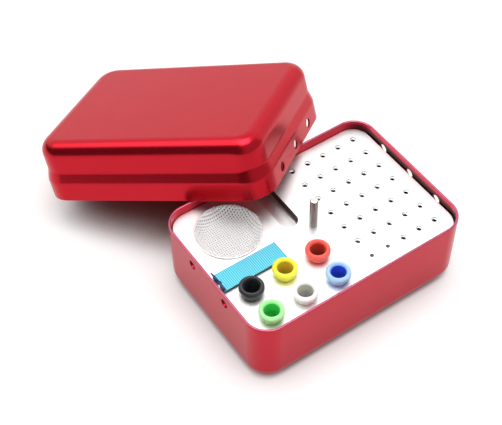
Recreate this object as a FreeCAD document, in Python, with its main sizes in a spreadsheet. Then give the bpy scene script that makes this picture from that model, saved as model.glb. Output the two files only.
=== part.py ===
"""Endodontic box: a red anodised base and lid, and a lift-out rack for files, cups, strainer and ruler.

Millimetres, +Z up. The origin is the centre of the base's underside, X runs along the box's long side.
The lid is off and leans on the base's far long rim, with its lowest corner just above the table.
Every length is written once, in the sheet called sizes, and each piece takes its form and place from it.
"""
import FreeCAD, Part
import itertools
import math
import os
import Sketcher

Vector = FreeCAD.Vector
Rule = Sketcher.Constraint
SKETCH_ORIGIN = (-1, 1)
POINT = {"start": 1, "end": 2, "centre": 3}

doc = FreeCAD.newDocument("endodontic_box")
sheet = doc.addObject("Spreadsheet::Sheet", "sizes")
sheet_rows = itertools.count(1)
pieces = []


class Size:
    """A value with the formula that the document keeps for it, so that sums of sizes stay formulas."""

    def __init__(self, value, text=None):
        self.value = float(value)
        self.text = text or repr(float(value))

    @staticmethod
    def of(item):
        return item if isinstance(item, Size) else Size(item)

    def join(self, other, sign, value):
        return Size(value, f"({self.text} {sign} {other.text})")

    def __add__(self, other):
        other = Size.of(other)
        return self.join(other, "+", self.value + other.value)

    def __sub__(self, other):
        other = Size.of(other)
        return self.join(other, "-", self.value - other.value)

    def __mul__(self, other):
        other = Size.of(other)
        return self.join(other, "*", self.value * other.value)

    def __truediv__(self, other):
        other = Size.of(other)
        return self.join(other, "/", self.value / other.value)

    def __radd__(self, other):
        return Size.of(other) + self

    def __rsub__(self, other):
        return Size.of(other) - self

    def __rmul__(self, other):
        return Size.of(other) * self

    def __neg__(self):
        return Size(-self.value, f"(-{self.text})")


def size(alias, value, note):
    """Writes one driving dimension into the sheet, in a cell named alias."""
    row = next(sheet_rows)
    sheet.set(f"A{row}", note)
    sheet.set(f"B{row}", str(value))
    sheet.setAlias(f"B{row}", alias)
    return Size(value, f"sizes.{alias}")


def tangent(degrees):
    """The tangent of an angle in degrees, kept as a formula."""
    return Size(math.tan(math.radians(degrees.value)), f"tan({degrees.text} * 1 deg)")


def angle_of(rise, run):
    """The angle in degrees whose tangent is rise over run, kept as a formula."""
    return Size(math.degrees(math.atan2(rise.value, run.value)), f"atan({rise.text} / {run.text}) / 1 deg")


ZERO = Size(0)

# Base: a drawn aluminium tub
base_length = size("base_length", 120.0, "base, outside length at the rim")
base_width = size("base_width", 85.0, "base, outside width at the rim")
base_height = size("base_height", 41.0, "base, height")
base_wall = size("base_wall", 1.2, "base, sheet thickness")
base_draft = size("base_draft", 0.7, "base, lean of the walls in degrees")
base_corner = size("base_corner", 12.0, "base, corner radius in plan")
base_bottom_radius = size("base_bottom_radius", 8.0, "base, radius between wall and floor")

# Lid: a stepped shell that slides over the base
lid_wall = size("lid_wall", 1.0, "lid, sheet thickness")
lid_clearance = size("lid_clearance", 0.5, "lid, room all round between skirt and base")
lid_height = size("lid_height", 30.8, "lid, height")
lid_skirt_height = size("lid_skirt_height", 9.8, "lid, height of the straight skirt")
lid_step_height = size("lid_step_height", 5.4, "lid, height of the step above the skirt")
lid_step = size("lid_step", 1.5, "lid, how far the step goes in")
lid_step_radius = size("lid_step_radius", 6.0, "lid, radius of the two bends of the step")
lid_top_radius = size("lid_top_radius", 7.0, "lid, radius round the top")
lid_overlap = size("lid_overlap", 10.6, "lid, how far it covers the base when closed")

# Steam vents, three in one end and two in the other, in base and lid
vent_diameter = size("vent_diameter", 4.6, "vent, diameter")
vent_pitch_three = size("vent_pitch_three", 20.5, "vent, pitch of the row of three")
vent_pitch_two = size("vent_pitch_two", 26.8, "vent, pitch of the pair")
vent_drop = size("vent_drop", 6.1, "vent, centre below the rim of the base")

# Where the lid lies in the open box
lid_yaw = size("lid_yaw", -52.0, "leaning lid, turn in degrees")
lid_rim_distance = size("lid_rim_distance", 42.5, "leaning lid, centre to the rim that carries it")
lid_shift = size("lid_shift", -20.5, "leaning lid, centre along the box")
rest_gap = size("rest_gap", 0.3, "room left between loose pieces that rest on each other")

# Rack: a perforated top plate on four pillars, with a plain plate below
plate_drop = size("plate_drop", 5.0, "rack plate, top below the rim of the base")
plate_thickness = size("plate_thickness", 1.5, "rack plate, thickness")
plate_gap_ends = size("plate_gap_ends", 1.2, "rack plate, room at each end")
plate_gap_sides = size("plate_gap_sides", 0.37, "rack plate, room at each long side")
plate_corner = size("plate_corner", 9.5, "rack plate, corner radius")
lower_plate_level = size("lower_plate_level", 11.0, "lower plate, underside above the table")
lower_plate_thickness = size("lower_plate_thickness", 1.0, "lower plate, thickness")
lower_plate_inset = size("lower_plate_inset", 1.0, "lower plate, edge inside the rack plate's edge")
steam_hole_diameter = size("steam_hole_diameter", 5.0, "lower plate, diameter of its steam holes")
steam_hole_share_x = size("steam_hole_share_x", 0.1736, "steam holes, pitch over plate length")
steam_hole_share_y = size("steam_hole_share_y", 0.2077, "steam holes, pitch over plate width")
pillar_diameter = size("pillar_diameter", 5.0, "pillar, diameter")
stud_diameter = size("stud_diameter", 2.9, "stud of pillar, foot and post, diameter")
stud_clearance = size("stud_clearance", 0.05, "stud, radial room in its hole")
pillar_spigot = size("pillar_spigot", 0.8, "pillar, height of the spigot pressed into the rack plate")
stud_length = size("stud_length", 6.0, "foot, reach of its stud into the pillar")
foot_chamfer = size("foot_chamfer", 1.0, "foot, chamfer at the floor")

# File and bur holes
file_columns = 5
file_rows = 7
file_pitch_x = size("file_pitch_x", 9.46, "file holes, pitch along the box")
file_pitch_y = size("file_pitch_y", 10.65, "file holes, pitch across the box")
file_margin_x = size("file_margin_x", 8.2, "file holes, first column from the plate's end")
file_margin_y = size("file_margin_y", 7.6, "file holes, first row from the plate's side")
file_hole_diameter = size("file_hole_diameter", 2.7, "file hole, diameter")
file_seat_diameter = size("file_seat_diameter", 3.0, "file hole, diameter of the flat seat round it")
file_seat_depth = size("file_seat_depth", 0.2, "file hole, depth of the flat seat round it")
small_hole_diameter = size("small_hole_diameter", 2.0, "two plain holes in the last row, diameter")
SMALL_HOLES = {(3, 6), (4, 6)}

# Across the plate lie two rows of cups, the ruler and the strainer, and these share the free width
share_before_cups = size("share_before_cups", 0.2020, "free width, share before the first row of cups")
share_between_cups = size("share_between_cups", 0.2814, "free width, share between the rows of cups")
share_before_ruler = size("share_before_ruler", 0.0418, "free width, share between cups and ruler")
share_before_strainer = size("share_before_strainer", 0.1537, "free width, share between ruler and strainer")

# Silicone cups, three by two
cup_columns = 3
cup_rows = 2
cup_pitch_x = size("cup_pitch_x", 18.6, "cups, pitch along the box")
cup_margin_x = size("cup_margin_x", 11.0, "cups, first column from the plate's end")
cup_diameter = size("cup_diameter", 12.0, "cup, outside diameter of its rim")
cup_mouth = size("cup_mouth", 7.9, "cup, diameter of its mouth")
cup_height = size("cup_height", 6.0, "cup, height above the plate")
cup_rim_fall = size("cup_rim_fall", 0.6, "cup, how far its rim falls from the mouth to its outer edge")
cup_rim_height = size("cup_rim_height", 2.8, "cup, height of its rounded rim")
cup_groove = size("cup_groove", 0.4, "cup, depth of the groove under the rim")
cup_neck = size("cup_neck", 7.8, "cup, diameter where it passes through the plate")
cup_seat = size("cup_seat", 0.4, "cup, width of its bowl that rests on the plate")
cup_depth = size("cup_depth", 8.0, "cup, depth below the plate's top")
cup_floor = size("cup_floor", 1.0, "cup, thickness of its floor")
cup_taper = size("cup_taper", 0.4, "cup, how much narrower the foot is all round")
cup_wall = size("cup_wall", 0.5, "cup, thickness of the barrel")
cup_clearance = size("cup_clearance", 0.1, "cup, room all round in the plate")

# Strainer dish
strainer_diameter = size("strainer_diameter", 33.5, "strainer, outside diameter of its rim")
strainer_margin_x = size("strainer_margin_x", 22.1, "strainer, centre from the plate's end")
strainer_rim_width = size("strainer_rim_width", 1.25, "strainer, width of its rim")
strainer_rim_height = size("strainer_rim_height", 0.8, "strainer, height of its rim")
strainer_ledge = size("strainer_ledge", 0.65, "strainer, width of rim that rests on the plate")
strainer_depth = size("strainer_depth", 4.5, "strainer, depth of the dish below the plate's top")
strainer_slope = size("strainer_slope", 1.6, "strainer, how far its wall comes in")
mesh_thickness = size("mesh_thickness", 0.5, "strainer, thickness of the mesh")
mesh_clearance = size("mesh_clearance", 0.1, "strainer, room round the mesh in the plate")

# Tool trough
trough_width = size("trough_width", 9.5, "trough, width inside")
trough_length = size("trough_length", 30.0, "trough, length inside")
trough_centre_x = size("trough_centre_x", -8.05, "trough, middle of its width along the box")
trough_near_end = size("trough_near_end", 4.5, "trough, near end across the box")
trough_depth = size("trough_depth", 4.8, "trough, floor below the plate's top")
trough_wall = size("trough_wall", 0.6, "trough, sheet thickness")
trough_flange = size("trough_flange", 1.5, "trough, width of its flange under the plate")
trough_floor_radius = size("trough_floor_radius", 1.2, "trough, radius between wall and floor inside")
trough_end_flat = size("trough_end_flat", 0.1, "trough, flat left between the two bends of each end")

# Ruler: a bent strip that stands on two flanges
ruler_length = size("ruler_length", 34.8, "ruler, length")
ruler_width = size("ruler_width", 10.5, "ruler, width")
ruler_thickness = size("ruler_thickness", 0.8, "ruler, sheet thickness")
ruler_height = size("ruler_height", 2.0, "ruler, top above the plate")
ruler_margin_x = size("ruler_margin_x", 0.9, "ruler, end from the plate's end")
ruler_stop = size("ruler_stop", 2.6, "ruler, height of the stop above its top")
ruler_stop_lean = size("ruler_stop_lean", 1.2, "ruler, how far the stop leans out")
ruler_notch = size("ruler_notch", 3.0, "ruler, width of the notch in the stop")
ruler_tab_width = size("ruler_tab_width", 2.4, "ruler, width of the tabs that go through the plate")
ruler_tab_clearance = size("ruler_tab_clearance", 0.1, "ruler, room round each tab")

# Lifting post
post_diameter = size("post_diameter", 4.1, "post, diameter")
post_height = size("post_height", 18.0, "post, height above the plate")
post_chamfer = size("post_chamfer", 0.3, "post, chamfer at the top")
nut_across_flats = size("nut_across_flats", 5.5, "nut under the post, across flats")
nut_height = size("nut_height", 2.4, "nut under the post, height")

# Sizes that follow
plate_top = base_height - plate_drop
plate_underside = plate_top - plate_thickness
plate_length = base_length - 2 * (base_wall + plate_gap_ends)
plate_width = base_width - 2 * (base_wall + plate_gap_sides)
stud_hole = stud_diameter + 2 * stud_clearance
file_first = (plate_length / 2 - file_margin_x, plate_width / 2 - file_margin_y)
free_width = plate_width - (cup_rows * cup_diameter + ruler_width + strainer_diameter)
cup_first_y = free_width * share_before_cups + cup_diameter / 2 - plate_width / 2
cup_pitch_y = free_width * share_between_cups + cup_diameter
cup_edge_y = cup_first_y + cup_pitch_y * (cup_rows - 1) + cup_diameter / 2
ruler_centre_y = cup_edge_y + free_width * share_before_ruler + ruler_width / 2
ruler_edge_y = ruler_centre_y + ruler_width / 2
strainer_centre_y = ruler_edge_y + free_width * share_before_strainer + strainer_diameter / 2
cup_first = (cup_margin_x - plate_length / 2, cup_first_y)
strainer_centre = (strainer_margin_x - plate_length / 2, strainer_centre_y)
strainer_hole = strainer_diameter - 2 * strainer_ledge
ruler_start = ruler_margin_x - plate_length / 2
trough_middle = trough_near_end + trough_length / 2
trough_end_radius = (trough_width - trough_end_flat) / 2


def body_of(name):
    """A new empty body."""
    body = doc.addObject("PartDesign::Body", name)
    body.Label = name
    return body


def sketch_on(body, role, name, offset=ZERO):
    """A sketch on one of the body's own origin planes, moved off it by offset."""
    plane = next(item for item in body.Origin.OriginFeatures if item.Role == role)
    sketch = body.newObject("Sketcher::SketchObject", f"{body.Name}_{name}")
    sketch.AttachmentSupport = (plane, [""])
    sketch.MapMode = "FlatFace"
    sketch.AttachmentOffset = FreeCAD.Placement(Vector(0, 0, offset.value), FreeCAD.Rotation())
    sketch.setExpression("AttachmentOffset.Base.z", offset.text)
    return sketch


def drive(sketch, kind, places, amount):
    """A driving constraint whose value is the formula of amount."""
    number = sketch.addConstraint(Rule(kind, *places, amount.value))
    sketch.setExpression(f"Constraints[{number}]", amount.text)


def join_ends(sketch, kind, item, following):
    """Joins the end of one item to the start of the next, by a touching or a smooth corner."""
    sketch.addConstraint(Rule(kind, item, POINT["end"], following, POINT["start"]))


def pin_point(sketch, item, point, x, y):
    """Holds one point of a sketch at x and y from the sketch's origin."""
    drive(sketch, "DistanceX", (*SKETCH_ORIGIN, item, POINT[point]), x)
    drive(sketch, "DistanceY", (*SKETCH_ORIGIN, item, POINT[point]), y)


def draw_circle(sketch, x, y, diameter):
    """A circle with its centre at x and y."""
    disc = Part.Circle(Vector(x.value, y.value, 0), Vector(0, 0, 1), diameter.value / 2)
    item = sketch.addGeometry(disc)
    pin_point(sketch, item, "centre", x, y)
    drive(sketch, "Diameter", (item,), diameter)


def draw_polygon(sketch, corners):
    """A closed outline of straight lines through the corners, each an x and a y."""
    points = [Vector(x.value, y.value, 0) for x, y in corners]
    lines = [sketch.addGeometry(Part.LineSegment(*pair)) for pair in zip(points, points[1:] + points[:1])]
    for line, following, corner in zip(lines, lines[1:] + lines[:1], corners):
        join_ends(sketch, "Coincident", line, following)
        pin_point(sketch, line, "start", *corner)


def draw_rounded_rectangle(sketch, length, width, radius, x=ZERO, y=ZERO):
    """A rectangle with arcs at its corners and its middle at x and y."""
    half_x, half_y = length.value / 2 - radius.value, width.value / 2 - radius.value
    middle = Vector(x.value, y.value, 0)
    corner_signs = [(1, -1), (1, 1), (-1, 1), (-1, -1)]
    arcs = []
    for turn, (sign_x, sign_y) in enumerate(corner_signs):
        centre = middle + Vector(sign_x * half_x, sign_y * half_y, 0)
        start = (turn - 1) * math.pi / 2
        ring = Part.Circle(centre, Vector(0, 0, 1), radius.value)
        arcs.append(Part.ArcOfCircle(ring, start, start + math.pi / 2))
    items = []
    for arc, following in zip(arcs, arcs[1:] + arcs[:1]):
        items.append(sketch.addGeometry(arc))
        items.append(sketch.addGeometry(Part.LineSegment(arc.EndPoint, following.StartPoint)))
    for item, following in zip(items, items[1:] + items[:1]):
        join_ends(sketch, "Tangent", item, following)
    first, right_line, second, far_line, third, left_line, fourth, near_line = items
    for line in (right_line, left_line):
        sketch.addConstraint(Rule("Vertical", line))
    for line in (far_line, near_line):
        sketch.addConstraint(Rule("Horizontal", line))
    for arc in (second, third, fourth):
        sketch.addConstraint(Rule("Equal", first, arc))
    drive(sketch, "Radius", (first,), radius)
    start = POINT["start"]
    drive(sketch, "DistanceX", (*SKETCH_ORIGIN, right_line, start), x + length / 2)
    drive(sketch, "DistanceX", (*SKETCH_ORIGIN, left_line, start), x - length / 2)
    drive(sketch, "DistanceY", (*SKETCH_ORIGIN, far_line, start), y + width / 2)
    drive(sketch, "DistanceY", (*SKETCH_ORIGIN, near_line, start), y - width / 2)


def pad(sketch, length, downward=False, lean=None):
    """Pads a sketch; lean is the angle in degrees by which the sides draw in."""
    feature = sketch.getParentGeoFeatureGroup().newObject("PartDesign::Pad", f"{sketch.Name}_pad")
    feature.Profile = sketch
    feature.Reversed = downward
    feature.Length = length.value
    feature.setExpression("Length", length.text)
    if lean is not None:
        feature.TaperAngle = -lean.value
        feature.setExpression("TaperAngle", f"-{lean.text}")
    return feature


def pocket(sketch, depth=None, upward=False):
    """Cuts a sketch down into the solid, or up, through all of it when no depth is given."""
    feature = sketch.getParentGeoFeatureGroup().newObject("PartDesign::Pocket", f"{sketch.Name}_pocket")
    feature.Profile = sketch
    feature.Reversed = upward
    if depth is None:
        feature.Type = "ThroughAll"
        feature.Midplane = True
    else:
        feature.Length = depth.value
        feature.setExpression("Length", depth.text)
    return feature


def turn(sketch):
    """Turns a sketch drawn on the XZ plane about the vertical axis."""
    feature = sketch.getParentGeoFeatureGroup().newObject("PartDesign::Revolution", f"{sketch.Name}_turn")
    feature.Profile = sketch
    feature.ReferenceAxis = (sketch, ["V_Axis"])
    feature.Angle = 360
    return feature


def level_edges(feature, level):
    """The names of a feature's edges that lie flat at one height."""
    doc.recompute()
    names = []
    for number, edge in enumerate(feature.Shape.Edges, 1):
        box = edge.BoundBox
        if abs(box.ZMin - level.value) < 1e-4 and abs(box.ZMax - level.value) < 1e-4:
            names.append(f"Edge{number}")
    return names


def round_level(feature, level, radius):
    """Fillets all of a feature's edges at one height."""
    body = feature.getParentGeoFeatureGroup()
    fillet = body.newObject("PartDesign::Fillet", f"{feature.Name}_round")
    fillet.Base = (feature, level_edges(feature, level))
    fillet.Radius = radius.value
    fillet.setExpression("Radius", radius.text)
    return fillet


def place(piece, x=ZERO, y=ZERO, z=ZERO):
    """Moves a piece, each coordinate bound to its formula."""
    piece.Placement = FreeCAD.Placement(Vector(x.value, y.value, z.value), FreeCAD.Rotation())
    for axis, amount in zip("xyz", (x, y, z)):
        piece.setExpression(f"Placement.Base.{axis}", amount.text)


def keep(piece, name=None):
    """Counts a piece among those that are written out, under its label."""
    if name:
        piece.Label = name
    pieces.append(piece)
    return piece


def cut(name, base, tool):
    """One solid with another taken out of it."""
    result = doc.addObject("Part::Cut", name)
    result.Base = base
    result.Tool = tool
    return result


def vent_row(name, count, pitch, x, z):
    """A row of bars along X, spaced evenly across the box, that cut the vents of one end wall."""
    reach = base_corner
    bars = []
    for number in range(count):
        bar = doc.addObject("Part::Cylinder", f"{name}_{number + 1}")
        bar.Radius = vent_diameter.value / 2
        bar.setExpression("Radius", (vent_diameter / 2).text)
        bar.Height = reach.value
        bar.setExpression("Height", reach.text)
        along_x = FreeCAD.Rotation(Vector(0, 1, 0), 90)
        bar.Placement = FreeCAD.Placement(Vector(), along_x)
        start = (x - reach / 2, pitch * (number - (count - 1) / 2), z)
        for axis, amount in zip("xyz", start):
            bar.setExpression(f"Placement.Base.{axis}", amount.text)
        bars.append(bar)
    return bars


def vented(name, shell, length, z):
    """A shell with three vents in its +X end wall and two in its -X end wall."""
    vents = doc.addObject("Part::Compound", f"{name}_vents")
    vents.Links = vent_row(f"{name}_vent_right", 3, vent_pitch_three, length / 2, z)
    vents.Links += vent_row(f"{name}_vent_left", 2, vent_pitch_two, -length / 2, z)
    return keep(cut(name, shell, vents))


def tub_form(name, inset):
    """The base as a solid form, drawn in by inset all round; its walls lean in towards the floor."""
    body = body_of(name)
    sketch = sketch_on(body, "XY_Plane", "rim", base_height)
    length, width = base_length - 2 * inset, base_width - 2 * inset
    draw_rounded_rectangle(sketch, length, width, base_corner - inset)
    block = pad(sketch, base_height - inset, downward=True, lean=base_draft)
    round_level(block, inset, base_bottom_radius - inset)
    return body


def base_shell():
    """The open tub, with vents just under its rim."""
    outside = tub_form("base_outside", ZERO)
    inside = tub_form("base_inside", base_wall)
    shell = cut("base_hollow", outside, inside)
    return vented("base_shell", shell, base_length, base_height - vent_drop)


skirt_length = base_length + 2 * (lid_clearance + lid_wall)
skirt_width = base_width + 2 * (lid_clearance + lid_wall)
skirt_corner = base_corner + lid_clearance + lid_wall


def lid_form(name, inset):
    """The lid as a solid form, drawn in by inset: a skirt, a step with two bends and a rounded top."""
    body = body_of(name)
    lean = angle_of(lid_step, lid_step_height)
    shift = inset * tangent(lean / 2)
    levels = [ZERO, lid_skirt_height - shift, lid_skirt_height + lid_step_height - shift, lid_height - inset]
    step_in = [ZERO, ZERO, lid_step]
    for number, (low, high) in enumerate(zip(levels, levels[1:])):
        sketch = sketch_on(body, "XY_Plane", f"level_{number}", low)
        draw_in = inset + step_in[number]
        length, width = skirt_length - 2 * draw_in, skirt_width - 2 * draw_in
        draw_rounded_rectangle(sketch, length, width, skirt_corner - draw_in)
        block = pad(sketch, high - low, lean=lean if number == 1 else None)
    lower_bend = round_level(block, levels[1], lid_step_radius - inset)
    upper_bend = round_level(lower_bend, levels[2], lid_step_radius + inset)
    round_level(upper_bend, levels[3], lid_top_radius - inset)
    return body


def rounded_reach(length, width, corner, degrees):
    """How far a rounded rectangle reaches from its middle, in a direction degrees off its length."""
    turn_angle = math.radians(degrees)
    along = (length / 2 - corner) * abs(math.cos(turn_angle))
    across = (width / 2 - corner) * abs(math.sin(turn_angle))
    return along + across + corner


def leaning_lid_placement():
    """The lid's skirt spans from the base's far rim to the table, with rest_gap left at both.

    Seen along X, its edge plane passes rest_gap from the rim's outer edge and its lowest point is
    rest_gap above the table: (rim distance + reach) sin(tilt) - gap cos(tilt) = height - gap.
    """
    gap = rest_gap.value
    downhill = 90 - lid_yaw.value
    reach = rounded_reach(skirt_length.value, skirt_width.value, skirt_corner.value, downhill)
    span = lid_rim_distance.value + reach
    drop = base_height.value - gap
    tilt = math.asin(drop / math.hypot(span, gap)) + math.atan2(gap, span)
    y = base_width.value / 2 + gap * math.sin(tilt) + lid_rim_distance.value * math.cos(tilt)
    z = base_height.value + gap * math.cos(tilt) - lid_rim_distance.value * math.sin(tilt)
    lean = FreeCAD.Rotation(Vector(1, 0, 0), -math.degrees(tilt))
    yaw = FreeCAD.Rotation(Vector(0, 0, 1), lid_yaw.value)
    return FreeCAD.Placement(Vector(lid_shift.value, y, z), lean * yaw)


def lid_shell():
    """The hollow lid, open below, with vents in its skirt that meet those of the closed base."""
    outside = lid_form("lid_outside", ZERO)
    inside = lid_form("lid_inside", lid_wall)
    shell = cut("lid_hollow", outside, inside)
    lid = vented("lid_shell", shell, skirt_length, lid_overlap - vent_drop)
    lid.Placement = leaning_lid_placement()
    return lid


def file_places():
    """The columns and rows of the file holes with their centres, counted from the far right corner."""
    for column, row in itertools.product(range(file_columns), range(file_rows)):
        yield (column, row), (file_first[0] - file_pitch_x * column, file_first[1] - file_pitch_y * row)


def cup_places():
    """The centres of the cups, row by row from the near left corner."""
    for row, column in itertools.product(range(cup_rows), range(cup_columns)):
        yield cup_first[0] + cup_pitch_x * column, cup_first[1] + cup_pitch_y * row


def pillar_places():
    """Four free spots of the rack: two among the file holes, one among the cups, one by the strainer."""
    among_files = file_first[0] - file_pitch_x * 0.5
    clear_of_strainer = (strainer_hole / 2 + pillar_diameter / 2 + rest_gap) * math.sqrt(0.5)
    return [
        (among_files, file_first[1] - file_pitch_y * 0.5),
        (among_files, file_first[1] - file_pitch_y * (file_rows - 1.5)),
        (cup_first[0] + cup_pitch_x * 0.5, cup_first[1] + cup_pitch_y * 0.5),
        (strainer_centre[0] - clear_of_strainer, strainer_centre[1] + clear_of_strainer),
    ]


def ruler_tab_places():
    """The middle of each ruler tab: two at the notched end and one at the other."""
    left = ruler_start + ruler_thickness / 2
    right = ruler_start + ruler_length - ruler_thickness / 2
    spread = (ruler_notch + ruler_tab_width) / 2 + ruler_tab_clearance
    return [(left, ruler_centre_y - spread), (left, ruler_centre_y + spread), (right, ruler_centre_y)]


def rack_plate():
    """The perforated top plate: file holes, cup and strainer holes, trough slot and ruler slots."""
    body = body_of("rack_plate")
    outline = sketch_on(body, "XY_Plane", "outline")
    draw_rounded_rectangle(outline, plate_length, plate_width, plate_corner)
    pad(outline, plate_thickness)
    through = sketch_on(body, "XY_Plane", "through", plate_thickness)
    for (x, y) in cup_places():
        draw_circle(through, x, y, cup_neck + 2 * cup_clearance)
    draw_circle(through, *strainer_centre, strainer_hole)
    draw_circle(through, ZERO, ZERO, stud_hole)
    draw_rounded_rectangle(
        through, trough_width, trough_length, trough_end_radius, trough_centre_x, trough_middle
    )
    for x, y in ruler_tab_places():
        room = 2 * ruler_tab_clearance
        corner = ruler_tab_clearance
        draw_rounded_rectangle(through, ruler_thickness + room, ruler_tab_width + room, corner, x, y)
    pocket(through)
    plain = sketch_on(body, "XY_Plane", "small_holes", plate_thickness)
    sunk = sketch_on(body, "XY_Plane", "file_holes", plate_thickness)
    for place_in_grid, (x, y) in file_places():
        if place_in_grid in SMALL_HOLES:
            draw_circle(plain, x, y, small_hole_diameter)
        else:
            draw_circle(sunk, x, y, file_hole_diameter)
    pocket(plain)
    doc.recompute()
    holes = body.newObject("PartDesign::Hole", "file_holes_sunk")
    holes.Profile = sunk
    holes.DepthType = "ThroughAll"
    holes.Diameter = file_hole_diameter.value
    holes.setExpression("Diameter", file_hole_diameter.text)
    holes.HoleCutType = "Counterbore"
    holes.HoleCutDiameter = file_seat_diameter.value
    holes.setExpression("HoleCutDiameter", file_seat_diameter.text)
    holes.HoleCutDepth = file_seat_depth.value
    holes.setExpression("HoleCutDepth", file_seat_depth.text)
    spigots = sketch_on(body, "XY_Plane", "spigot_holes")
    for x, y in pillar_places():
        draw_circle(spigots, x, y, stud_hole)
    pocket(spigots, pillar_spigot + stud_clearance, upward=True)
    place(body, z=plate_underside)
    return keep(body)


def lower_plate():
    """The plain plate on which the tips of the files stand, with a grid of steam holes."""
    body = body_of("lower_plate")
    outline = sketch_on(body, "XY_Plane", "outline")
    length, width = plate_length - 2 * lower_plate_inset, plate_width - 2 * lower_plate_inset
    draw_rounded_rectangle(outline, length, width, plate_corner - lower_plate_inset)
    pad(outline, lower_plate_thickness)
    holes = sketch_on(body, "XY_Plane", "holes", lower_plate_thickness)
    for x, y in pillar_places():
        draw_circle(holes, x, y, stud_hole)
    for column, row in itertools.product(range(-2, 3), range(-1, 2)):
        x, y = plate_length * steam_hole_share_x * column, plate_width * steam_hole_share_y * row
        draw_circle(holes, x, y, steam_hole_diameter)
    pocket(holes)
    place(body, z=lower_plate_level)
    return keep(body)


def pillar(number, x, y):
    """A round pillar between the plates: a spigot above, a bore for the foot's stud below."""
    body = body_of(f"pillar_{number}")
    profile = sketch_on(body, "XZ_Plane", "profile")
    radius, bore = pillar_diameter / 2, stud_hole / 2
    length = plate_underside - lower_plate_level - lower_plate_thickness
    bore_depth = stud_length + 2 * stud_clearance
    draw_polygon(profile, [
        (bore, ZERO),
        (radius, ZERO),
        (radius, length),
        (stud_diameter / 2, length),
        (stud_diameter / 2, length + pillar_spigot),
        (ZERO, length + pillar_spigot),
        (ZERO, bore_depth),
        (bore, bore_depth),
    ])
    turn(profile)
    place(body, x, y, lower_plate_level + lower_plate_thickness)
    return keep(body)


def foot(number, x, y):
    """A round foot under the lower plate, whose stud screws up into the pillar."""
    body = body_of(f"foot_{number}")
    profile = sketch_on(body, "XZ_Plane", "profile")
    radius = pillar_diameter / 2
    height = lower_plate_level - base_wall - rest_gap
    top = height + lower_plate_thickness + stud_length
    draw_polygon(profile, [
        (ZERO, ZERO),
        (radius - foot_chamfer, ZERO),
        (radius, foot_chamfer),
        (radius, height),
        (stud_diameter / 2, height),
        (stud_diameter / 2, top),
        (ZERO, top),
    ])
    turn(profile)
    place(body, x, y, base_wall + rest_gap)
    return keep(body)


def lifting_post():
    """The polished post at the middle of the plate, by which the rack is lifted out."""
    body = body_of("lifting_post")
    profile = sketch_on(body, "XZ_Plane", "profile")
    radius, stud = post_diameter / 2, stud_diameter / 2
    stud_end = -(plate_thickness + nut_height + post_chamfer)
    draw_polygon(profile, [
        (ZERO, stud_end),
        (stud, stud_end),
        (stud, ZERO),
        (radius, ZERO),
        (radius, post_height - post_chamfer),
        (radius - post_chamfer, post_height),
        (ZERO, post_height),
    ])
    turn(profile)
    place(body, z=plate_top)
    return keep(body)


def post_nut():
    """The hexagon nut under the plate that holds the post."""
    body = body_of("post_nut")
    outline = sketch_on(body, "XY_Plane", "outline")
    half_flats = nut_across_flats / 2
    to_corner = half_flats / math.cos(math.pi / 6)
    draw_polygon(outline, [
        (to_corner, ZERO),
        (to_corner / 2, half_flats),
        (-to_corner / 2, half_flats),
        (-to_corner, ZERO),
        (-to_corner / 2, -half_flats),
        (to_corner / 2, -half_flats),
    ])
    draw_circle(outline, ZERO, ZERO, stud_hole)
    pad(outline, nut_height)
    place(body, z=plate_underside - nut_height)
    return keep(body)


def tool_trough():
    """A pressed trough under the slot, hung from a flange on the plate's underside."""
    body = body_of("tool_trough")
    pan_depth = trough_depth - plate_thickness

    def outline(name, outward):
        sketch = sketch_on(body, "XY_Plane", name)
        length, width = trough_length + 2 * outward, trough_width + 2 * outward
        draw_rounded_rectangle(sketch, width, length, trough_end_radius + outward)
        return sketch

    pad(outline("flange", trough_wall + trough_flange), trough_wall, downward=True)
    pan = pad(outline("pan", trough_wall), pan_depth + trough_wall, downward=True)
    round_level(pan, -(pan_depth + trough_wall), trough_floor_radius + trough_wall)
    hollow = pocket(outline("hollow", ZERO), pan_depth)
    round_level(hollow, -pan_depth, trough_floor_radius)
    place(body, trough_centre_x, trough_middle, plate_underside)
    return keep(body)


def strainer_rim():
    """The flat ring that rests on the plate and carries the strainer's mesh."""
    body = body_of("strainer_rim")
    profile = sketch_on(body, "XZ_Plane", "profile")
    outer = strainer_diameter / 2
    inner = outer - strainer_rim_width
    edge = strainer_rim_height / 4
    draw_polygon(profile, [
        (inner, ZERO),
        (outer, ZERO),
        (outer, strainer_rim_height - edge),
        (outer - edge, strainer_rim_height),
        (inner + edge, strainer_rim_height),
        (inner, strainer_rim_height - edge),
    ])
    turn(profile)
    place(body, *strainer_centre, plate_top)
    return keep(body)


def strainer_mesh():
    """The shallow dish of wire mesh, as a thin wall with a bend at its floor."""
    body = body_of("strainer_mesh")
    profile = sketch_on(body, "XZ_Plane", "profile")
    outer = strainer_hole / 2 - mesh_clearance
    inner = outer - mesh_thickness
    bend = strainer_slope
    floor_low = -strainer_depth
    floor_high = floor_low + mesh_thickness
    draw_polygon(profile, [
        (outer, ZERO),
        (inner, ZERO),
        (inner - strainer_slope, floor_high + bend),
        (inner - strainer_slope - bend, floor_high),
        (ZERO, floor_high),
        (ZERO, floor_low),
        (inner - strainer_slope - bend, floor_low),
        (outer - strainer_slope, floor_high + bend),
    ])
    turn(profile)
    place(body, *strainer_centre, plate_top)
    return keep(body)


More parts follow.
